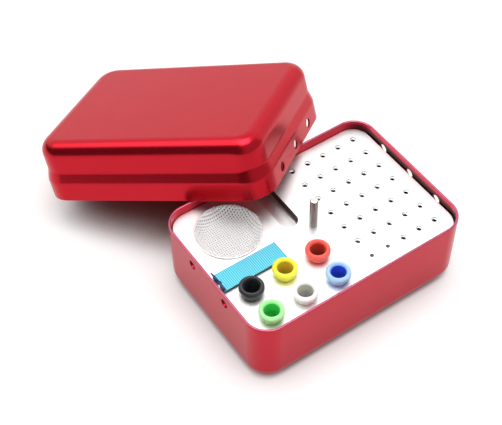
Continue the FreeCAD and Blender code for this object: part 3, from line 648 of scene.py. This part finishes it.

# %% [markdown]
# ## Silver aluminium
#
# The rack's plates are the same metal without dye: blasted, then anodised clear. It mirrors the sky above
# so softly that it looks white, and goes grey only where the lid leans over it. The plate could get a plain
# white paint, but then it would not turn red under the lid. Fine lines along the plate roughen the mirror.
# In each file hole, the wall shines and the low wall of the seat above it is painted dark, a painted shade.

# %% Silver finish, and the plates that keep their CAD shape
PLATE_TOP, PLATE_FOOT, SEAT_FLOOR = 36.0, 34.5, 35.8
TROUGH_X, TROUGH_Y = -8.05, 19.5
NEVER = 200.0


def silvery(name, tint, rough, lines_scale, depth=0.006, top=NEVER, walls=(NEVER, NEVER + 1.0)):
    """A bare satin metal with rolled lines and a faint cloudiness.

    It is faced bright above the height top, and painted dark from the heights walls up, a painted shade.
    Both heights start above the whole box, so that a piece has neither unless it asks.
    """
    material, shader = finish_of(name)
    own = shader.place()
    lines = shader.noise(shader.place(lines_scale), 1.0, 2.0)
    clouds = shader.noise(own, 0.08, 2.0)
    grain = shader.noise(own, 6.0, 2.0)
    dull = tuple(0.93 * c for c in tint)
    colour = shader.mix(0.6 * clouds + 0.4 * lines, (*dull, 1), (*tint, 1))
    height = shader.node("ShaderNodeSeparateXYZ", {}, {0: own}, "Z")
    colour = shader.mix(height.ramp(*walls), colour, (0.14, 0.12, 0.115, 1))
    shader.surface(
        Base_Color=shader.mix(height.ramp(top - 0.05, top), colour, (0.93, 0.93, 0.92, 1)),
        Metallic=1.0,
        Roughness=rough + 0.10 * grain + 0.08 * lines,
        Normal=shader.bump(grain + lines, depth),
    )
    return material


def repaint(nodes, material):
    """Gives CAD nodes a finish in each of their material slots."""
    for node in nodes:
        for number in range(len(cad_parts[node].data.materials)):
            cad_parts[node].material_slots[number].material = material


def drilled_silver():
    """The top plate's silver, with the walls of its holes told by their height.

    Each opening has a painted dark line just below the top, a painted shade, which in a file hole is the
    seat's low wall. The walls of the slot and of the two plain holes near the front are painted dark, a
    painted shade.
    Those of the file holes shine: a bump that grows with depth tips their mirror to the sky.
    """
    material, shader = finish_of("plate_silver")
    lines = shader.noise(shader.place((0.04, 5.0, 0.04)), 1.0, 2.0)
    own = shader.place()
    grain = shader.noise(own, 6.0, 2.0)
    place = shader.node("ShaderNodeSeparateXYZ", {}, {0: own})
    height = place.other("Z")
    across = place.other("Y")
    plain_pair = place.ramp(23.0, 23.5, 1.0, 0.0) * across.ramp(-29.0, -28.5, 1.0, 0.0)
    slot = abs(place - TROUGH_X).ramp(7.2, 7.4, 1.0, 0.0) * abs(across - TROUGH_Y).ramp(17.6, 17.8, 1.0, 0.0)
    tipped = (SEAT_FLOOR - 0.05 - height).at_least(0.0) * (1 - slot) * 450.0
    under_seat = height.ramp(SEAT_FLOOR - 0.06, SEAT_FLOOR - 0.03, 1.0, 0.0)
    wall = height.ramp(PLATE_FOOT, PLATE_FOOT + 0.04) * under_seat
    below_top = height.ramp(PLATE_TOP - 0.05, PLATE_TOP - 0.02, 1.0, 0.0)
    step = height.ramp(SEAT_FLOOR - 0.03, SEAT_FLOOR - 0.01) * below_top
    pale = shader.mix(0.5 * grain + 0.5 * lines, (0.90, 0.895, 0.89, 1), (0.97, 0.965, 0.96, 1))
    shader.surface(
        # painted shade: the dark line below the top of each opening, and the walls of the slot and two plain
        # holes
        Base_Color=shader.mix(0.85 * step + 0.95 * wall * (plain_pair + slot), pale, (0.10, 0.09, 0.09, 1)),
        Metallic=1.0,
        Roughness=0.38 + 0.08 * grain + 0.08 * lines,
        Normal=shader.bump(grain + lines + tipped, 0.006),
    )
    return material


repaint(["rack_plate"], drilled_silver())
# painted shade: the lower plate, the same metal as the top plate, is painted dark grey inside the box
repaint(["lower_plate"], silvery("lower_silver_painted_shade", (0.36, 0.35, 0.34), 0.45, (0.05, 5.0, 0.05)))
repaint(["post_nut"], silvery("nut_steel", (0.80, 0.79, 0.77), 0.18, (5.0, 5.0, 0.1)))

# %% [markdown]
# ## Turned pieces
#
# Post, pillars and feet are turned on a lathe, so they are profiles of radius and height turned about their
# axis. A cylinder with a bevel would do for one of them, but one function makes them all, each with its own
# chamfer. The post is polished, with fine turning marks that run round it.

# %% Post, pillars and feet
POST_RADIUS, POST_HEIGHT = 2.05, 18.0
STUD_RADIUS, LEG_RADIUS = 1.45, 2.5


def lathe(name, corners, radii, centre, body, around=64):
    """A closed line of radius and height, with rounded corners, turned about a vertical axis."""
    line = divided(bent_line(corners, radii, 5), 4.0)
    return skin(name, turned(line, centre, around), body)


def make_post():
    """The lifting post: a plain pin with a small chamfer, and a stud below that carries the nut."""
    pin, stud, chamfer = POST_RADIUS, STUD_RADIUS, 0.3
    corners = [
        (0, -4.2), (stud, -4.2), (stud, 0), (pin, 0), (pin, POST_HEIGHT - chamfer),
        (pin - chamfer, POST_HEIGHT), (0, POST_HEIGHT)]
    piece = lathe("post_pin", corners, [0, 0.2, 0, 0.1, 0.12, 0.12, 0], (0, 0, PLATE_TOP), "rack", 96)
    smooth(piece, 35)
    faced = PLATE_TOP + POST_HEIGHT - 0.1
    # painted reflection: the polished steel is painted dark grey for the dark its sides mirror; its top face
    # is pale
    steel = silvery("post_steel_painted_dark", (0.285, 0.26, 0.25), 0.08, (0.5, 0.5, 7.0), 0.002, top=faced)
    wear(piece, steel, "polished_steel", "lifting_post")


def make_supports():
    """Four pillars between the plates and four feet below, each where the CAD has it."""
    steel = silvery("support_steel", (0.82, 0.815, 0.81), 0.20, (0.5, 0.5, 6.0))
    stud, leg_radius = STUD_RADIUS, LEG_RADIUS
    for number in range(1, 5):
        low, high = (np.array(corner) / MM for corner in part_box(f"pillar_{number}"))
        x, y = (low[:2] + high[:2]) / 2
        bore = [
            (1.5, 0), (leg_radius, 0), (leg_radius, 22.5), (stud, 22.5),
            (stud, 23.3), (0, 23.3), (0, 6.1), (1.5, 6.1)]
        line = divided(np.array(bore + bore[:1], float), 4.0)[:-1]
        pillar = skin(f"round_pillar_{number}", turned(line, (x, y, low[2]), 48), "rack", wrapped_rows=True)
        low, high = (np.array(corner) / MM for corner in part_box(f"foot_{number}"))
        height = 9.7
        leg = [
            (0, 0), (1.5, 0), (leg_radius, 1.0), (leg_radius, height),
            (stud, height), (stud, height + 7), (0, height + 7)]
        foot = lathe(f"round_foot_{number}", leg, [0, 0.3, 0.3, 0.1, 0, 0.2, 0], (x, y, low[2]), "rack", 48)
        for piece, node in ((pillar, f"pillar_{number}"), (foot, f"foot_{number}")):
            smooth(piece, 35)
            wear(piece, steel, "silver_aluminium", node)


make_post()
make_supports()

# %% [markdown]
# ## The tool trough
#
# Beside the post the plate has a long slot with a pan under it, for a bracket or a broken file. The pan is
# pressed from thin sheet with full round ends. It is one more wall carried round, with a flange at its head
# that sits flat under the plate.

# %% Trough
def make_trough():
    """The flange's edge, down round the pan outside, and back up inside; length runs across the box."""
    outer = [(6.0, -3.9), (1.5, -3.9), (1.5, -0.6), (0.0, -0.6), (0.0, 0.0)]
    inner = [(2.1, 0.0), (2.1, -3.3), (6.0, -3.3)]
    line = divided(bent_line(outer + inner, [0, 1.8, 0, 0.15, 0.1, 0.2, 1.2, 0], 8), 2.0)
    low = int(np.argmax(line[:, 1]))
    grid = carried(closed_profile(line[:low], line[low:][::-1]), 13.7, 34.2, 6.84, 24)
    piece = skin("trough_pan", grid + np.array([TROUGH_X, TROUGH_Y, PLATE_FOOT]), "rack")
    smooth(piece)
    # painted shade: the pan's walls and flange, above 32.3 mm, are painted dark grey; its floor stays pale
    pan = silvery("trough_silver", (0.93, 0.925, 0.92), 0.30, (5.0, 0.05, 0.05), walls=(31.5, 32.3))
    wear(piece, pan, "silver_aluminium", "tool_trough")


make_trough()

# %% [markdown]
# ## The strainer
#
# A round dish of woven wire sits in a turned rim. A flat disc with a woven picture on it would lose its
# sparkle, so each wire is a real tube. A wire follows the dish, and rises and falls by half its radius as it
# passes over and under the wires that cross it, as cosine of pi times its distance over the pitch. All the
# wires of one direction are worked out as one array.

# %% Rim and woven dish
STRAINER = (-35.5, 19.73, PLATE_TOP)
WIRE_PITCH, WIRE_RADIUS, WIRE_SIDES = 1.15, 0.38, 6
WIRE_END = 16.3
DISH_FLOOR, DISH_EDGE, DISH_DEPTH = 11.2, 15.4, 4.2


def dish_height(distance):
    """The dish's middle surface: flat at the floor, rising ever steeper, then flat again over the rim."""
    rise = np.clip((distance - DISH_FLOOR) / (DISH_EDGE - DISH_FLOOR), 0, 1.04)
    return -DISH_DEPTH + (DISH_DEPTH + 0.1) * rise ** 1.5


def wire_grid(sign, points=130):
    """Tubes along one direction: wires x points x sides. sign tells over from under.

    Each ring is sheared to the dish's slope across the wire, so the wires stay equally close on the slope.
    """
    count = int((WIRE_END - 0.1) / WIRE_PITCH)
    offsets = np.arange(-count, count + 1) * WIRE_PITCH
    half = np.sqrt(WIRE_END ** 2 - offsets ** 2)
    along = np.linspace(-1, 1, points)[None, :] * half[:, None]
    across = np.broadcast_to(offsets[:, None], along.shape)
    weave = np.cos(np.pi * (along / WIRE_PITCH + (offsets / WIRE_PITCH)[:, None])) * sign
    height = dish_height(np.hypot(along, across)) + 0.5 * WIRE_RADIUS * weave
    angles = np.arange(WIRE_SIDES) / WIRE_SIDES * 2 * np.pi
    slope = np.gradient(height, axis=1) / np.gradient(along, axis=1)
    steep = np.sqrt(1 + slope ** 2)
    step = 0.1
    beyond, before = (dish_height(np.hypot(along, across + side)) for side in (step, -step))
    lean = (beyond - before) / (2 * step)
    side_ways = WIRE_RADIUS * np.cos(angles)
    upwards = WIRE_RADIUS * np.sin(angles)
    a = along[..., None] - (slope / steep)[..., None] * upwards
    b = across[..., None] + side_ways
    c = height[..., None] + (1 / steep)[..., None] * upwards + lean[..., None] * side_ways
    return (a, b, c) if sign > 0 else (b, a, c)


def etched_wire():
    """Pickled wire: pale and half dull, with small stains, and painted shade underneath so that the gaps
    show.
    """
    material, shader = finish_of("wire_steel")
    own = shader.place()
    stains = shader.noise(own, 1.5, 2.0)
    grain = shader.noise(own, 9.0, 2.0)
    upper = shader.node("ShaderNodeAttribute", {"attribute_name": "upper"}, output="Fac")
    pale = shader.mix(stains, (0.95, 0.94, 0.94, 1), (1.0, 0.99, 0.99, 1))
    shader.surface(
        # painted shade: each wire is painted near black underneath, where upper is below zero
        Base_Color=shader.mix(upper.ramp(-0.7, 0.0), (0.10, 0.09, 0.09, 1), pale),
        Metallic=0.05,
        Roughness=0.40 + 0.15 * grain,
        Normal=shader.bump(grain, 0.004),
    )
    return material


def make_wires():
    """Joins every tube's rings with quads and closes both ends with six-sided faces.

    The attribute upper is the sine of a point's angle round its wire: 1 on top and -1 underneath.
    """
    parts, faces, start = [], [], 0
    for sign in (1, -1):
        grid = np.stack(wire_grid(sign), axis=-1)
        wires, points, sides = grid.shape[:3]
        numbers = start + np.arange(grid[..., 0].size).reshape(wires, points, sides)
        low, high = numbers[:, :-1], numbers[:, 1:]
        ring = [low, np.roll(low, -1, 2), np.roll(high, -1, 2), high]
        order = 1 if sign > 0 else -1
        faces += np.stack(ring, axis=-1).reshape(-1, 4)[:, ::order].tolist()
        faces += numbers[:, 0, ::-order].tolist() + numbers[:, -1, ::order].tolist()
        parts.append(grid.reshape(-1, 3))
        start += grid[..., 0].size
    points = (np.vstack(parts) + np.array(STRAINER)) * MM
    mesh = bpy.data.meshes.new("woven_wires")
    mesh.from_pydata(points.tolist(), [], faces)
    piece = bpy.data.objects.new("woven_wires", mesh)
    bpy.context.scene.collection.objects.link(piece)
    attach(piece, "strainer")
    mesh.polygons.foreach_set("use_smooth", np.ones(len(mesh.polygons), bool))
    sines = np.sin(np.arange(WIRE_SIDES) / WIRE_SIDES * 2 * np.pi)
    upper = np.tile(sines, len(points) // WIRE_SIDES)
    mesh.attributes.new("upper", "FLOAT", "POINT").data.foreach_set("value", upper.astype(np.float32))
    print("woven wires:", len(mesh.polygons), "faces")
    wear(piece, etched_wire(), "mesh_steel", "strainer_mesh")


def make_rim():
    """The ring that holds the wires: a thin band with two rounded edges."""
    corners = [(16.0, 0), (16.75, 0), (16.75, 0.8), (16.0, 0.8)]
    line = bent_line(corners + corners[:2], [0, 0.12, 0.3, 0.3, 0.12, 0], 5)[1:-1]
    piece = skin("strainer_band", turned(line, STRAINER, 120), "strainer", wrapped_rows=True)
    smooth(piece, 40)
    wear(piece, silvery("rim_steel", (0.93, 0.92, 0.91), 0.30, (1.0, 1.0, 1.0)), "mesh_steel", "strainer_rim")


make_wires()
make_rim()

# %% [markdown]
# ## The ruler
#
# A strip of blue anodised sheet stands on two short flanges, and at its left end a notched stop leans up and
# out. A file is measured from its stop. The outline is bent in profile and pushed through its width, and the
# notch is cut. The strip has no tabs through the plate, which the CAD's ruler has, and a narrower notch: 1.6
# millimetres where the CAD has 3. The millimetre lines could be cut as grooves, but printed
# lines have no depth: they are a sum on the distance along the strip, darker where its remainder is small.

# %% Ruler
RULER_START, RULER_Y = -56.7, -4.4
RULER_LENGTH, RULER_HALF_WIDTH = 34.8, 5.25
RULER_TOP, RULER_SHEET = 2.0, 0.8
STOP_RISE, STOP_LEAN = 2.6, 1.2
NOTCH_LENGTH, NOTCH_WIDTH = 2.8, 1.6
NAVY_PAINTED_SHADE = (0.004, 0.045, 0.14, 1)


def ruled_blue():
    """Blue anodised metal with a line across at each millimetre, and painted shade in navy on its sides and
    stop.
    """
    material, shader = finish_of("ruler_blue")
    own = shader.place(location=(RULER_START * MM, RULER_Y * MM, 0))
    split = shader.node("ShaderNodeSeparateXYZ", {}, {0: own})
    height = split.other("Z")
    remainder = abs((split + 0.5) % 1.0 - 0.5)
    line = remainder.ramp(0.16, 0.28, 1.0, 0.0) * height.ramp(37.8, 37.95)
    grain = shader.noise(own, 5.0)
    blue = shader.mix(grain, (0.14, 0.64, 0.76, 1), (0.19, 0.72, 0.84, 1))
    ruled = shader.mix(line * 0.75, blue, (0.02, 0.26, 0.46, 1))
    # painted shade: the sides, legs and stop are painted dark navy, and made duller
    stop = split.ramp(0.50, 0.80, 1.0, 0.0) * height.ramp(38.02, 38.15)
    side = height.ramp(37.3, 37.75, 1.0, 0.0) + stop
    shader.surface(
        Base_Color=shader.mix(side, ruled, NAVY_PAINTED_SHADE),
        Metallic=0.9 * (1 - side),
        Roughness=0.28 + 0.1 * grain + 0.2 * side,
        Coat_Weight=0.25 * (1 - side),
        Coat_Roughness=0.25,
        Normal=shader.bump(grain, 0.006),
    )
    return material


def make_ruler():
    """A bridge in profile, swept over its width, with a notched stop that leans out at its left end."""
    length, top, sheet = RULER_LENGTH, RULER_TOP, RULER_SHEET
    under, stop = top - sheet, top + STOP_RISE
    outline = [
        (0, 0), (sheet, 0), (sheet, under), (length - sheet, under), (length - sheet, 0), (length, 0),
        (length, top), (sheet, top), (sheet - STOP_LEAN, stop), (-STOP_LEAN, stop), (0, top)]
    radii = [0.05, 0.05, 0.15, 0.15, 0.05, 0.05, 0.6, 0.3, 0.15, 0.15, 0.4]
    ring = bent_line(outline[-1:] + outline + outline[:1], [0] + radii + [0], 5)[1:-1]
    half, soft = RULER_HALF_WIDTH, 0.05
    widths = np.array([-half, soft - half, -3.0, 0.0, 3.0, half - soft, half])
    draw_in = np.array([soft, 0, 0, 0, 0, 0, soft])
    middle = np.array([length / 2, top / 2])
    inner = middle + (ring - middle) * (1 - draw_in[:, None, None] / (length / 2))
    x = RULER_START + inner[..., 0]
    y = RULER_Y + np.broadcast_to(widths[:, None], x.shape)
    grid = np.stack([x, y, PLATE_TOP + inner[..., 1]], axis=-1)
    piece = skin("ruler_strip", grid, "rack")
    piece.data = closed_ends(piece.data)
    low, high = -1.0, 5.5
    bar = np.array([(0, low, 0), (0, low, 1), (0, high, 1), (0, high, 0)], float)
    notch = carried(bar, NOTCH_LENGTH, NOTCH_WIDTH, 0.2, 6)
    cutter = skin("cutter_notch", notch + np.array([RULER_START, RULER_Y, PLATE_TOP]), None)
    cut_away(piece, [cutter])
    smooth(piece, 40)
    wear(piece, ruled_blue(), "blue_aluminium", "ruler")


def closed_ends(mesh):
    """Closes the two open ends of a swept outline with one face each."""
    work = bmesh.new()
    work.from_mesh(mesh)
    bmesh.ops.holes_fill(work, edges=[edge for edge in work.edges if edge.is_boundary])
    bmesh.ops.recalc_face_normals(work, faces=work.faces)
    work.to_mesh(mesh)
    work.free()
    return mesh


make_ruler()

# %% [markdown]
# ## Silicone cups
#
# Six cups take rubber stops and small burs. Silicone lets light in and scatters it, so a cup glows at its
# round rim. A plain plastic would look hard. The shader scatters light under the surface by up to three
# millimetres, and a weak painted glow, an emission in the rim's colour, lifts the rim. The mouth and the
# foot are painted a deeper colour, a painted shade. The skin has a fine grain.

# %% Cups
CUP_LEFT, CUP_MIDDLE, CUP_RIGHT = -46.6, -28.0, -9.4
CUP_FRONT, CUP_BACK = -32.13, -16.23
# Each cup: its place, its rim colour, and the deeper colour painted in its mouth and at its foot as painted
# shade
CUPS = {
    "green": (CUP_LEFT, CUP_FRONT, (0.46, 1.0, 0.42), (0.10, 0.78, 0.18)),
    "white": (CUP_MIDDLE, CUP_FRONT, (1.0, 1.0, 0.98), (0.70, 0.69, 0.64)),
    "blue": (CUP_RIGHT, CUP_FRONT, (0.42, 0.64, 1.0), (0.07, 0.16, 0.80)),
    "black": (CUP_LEFT, CUP_BACK, (0.026, 0.028, 0.031), (0.030, 0.032, 0.036)),
    "yellow": (CUP_MIDDLE, CUP_BACK, (1.0, 0.97, 0.07), (0.80, 0.62, 0.07)),
    "red": (CUP_RIGHT, CUP_BACK, (1.0, 0.13, 0.10), (0.62, 0.10, 0.06)),
}


def silicone(name, x, y, rim, deep):
    """A soft translucent rubber with a fine grain: a painted glow at the rim, painted shade deep in the
    mouth.

    The mouth is told by the distance from the cup's axis, the root of the sum of the squared sides.
    """
    material, shader = finish_of(name)
    own = shader.place(location=(x * MM, y * MM, 0))
    clouds = shader.noise(own, 0.4, 2.0)
    grain = shader.noise(own, 8.0, 2.0)
    split = shader.node("ShaderNodeSeparateXYZ", {}, {0: own})
    across = split.other("Y")
    from_axis = (split * split + across * across).root()
    height = split.other("Z")
    # painted shade: the mouth, inside the rim, is painted in the deeper colour
    inside = from_axis.ramp(3.90, 4.05, 1.0, 0.0) * height.ramp(PLATE_TOP + 4.4, PLATE_TOP + 5.1, 1.0, 0.0)
    # painted shade: the skin turns slightly deeper towards the foot
    low = height.ramp(PLATE_TOP, PLATE_TOP + 3.0, 0.10, 0.0)
    skin_colour = shader.mix(clouds * 0.1 + low, (*rim, 1), (*deep, 1))
    # painted glow: the rim's colour is added as a weak emission, stronger higher up and not in the mouth
    glow = height.ramp(PLATE_TOP + 2.0, PLATE_TOP + 6.0, 0.02, 0.16) * (1 - inside)
    shader.surface(
        Base_Color=shader.mix(inside, skin_colour, (*deep, 1)),
        Roughness=0.36 + 0.12 * grain,
        Subsurface_Weight=0.9,
        Subsurface_Radius=(1.0, 1.0, 1.0),
        Subsurface_Scale=0.0030,
        Emission_Color=shader.mix(glow, (0, 0, 0, 1), (*rim, 1)),
        Emission_Strength=1.0,
        Normal=shader.bump(grain, 0.008),
    )
    return material


def make_cup(colour, x, y, rim, deep):
    """From the middle underneath, up the barrel, bowl, groove and thick rim, and down into the mouth."""
    corners = [
        (0, -8.0), (3.5, -8.0), (3.9, -1.5), (3.9, 0.02), (4.3, 0.02), (5.2, 1.15), (5.6, 2.8), (5.2, 3.2),
        (6.0, 3.5), (6.0, 5.2), (4.9, 6.0), (4.3, 6.0), (3.7, 4.8), (3.4, 0.0), (3.0, -7.0), (0, -7.0)]
    radii = [0, 0.5, 0.3, 0, 0.3, 1.6, 0.3, 0.2, 0.4, 0.9, 0.6, 0.5, 0.3, 2.0, 0.5, 0]
    piece = lathe(f"silicone_cup_{colour}", corners, radii, (x, y, PLATE_TOP), f"cup_{colour}", 72)
    smooth(piece, 50)
    finish = silicone(f"silicone_{colour}", x, y, rim, deep)
    wear(piece, finish, f"silicone_{colour}", f"cup_{colour}")


for colour, (x, y, rim, deep) in CUPS.items():
    make_cup(colour, x, y, rim, deep)
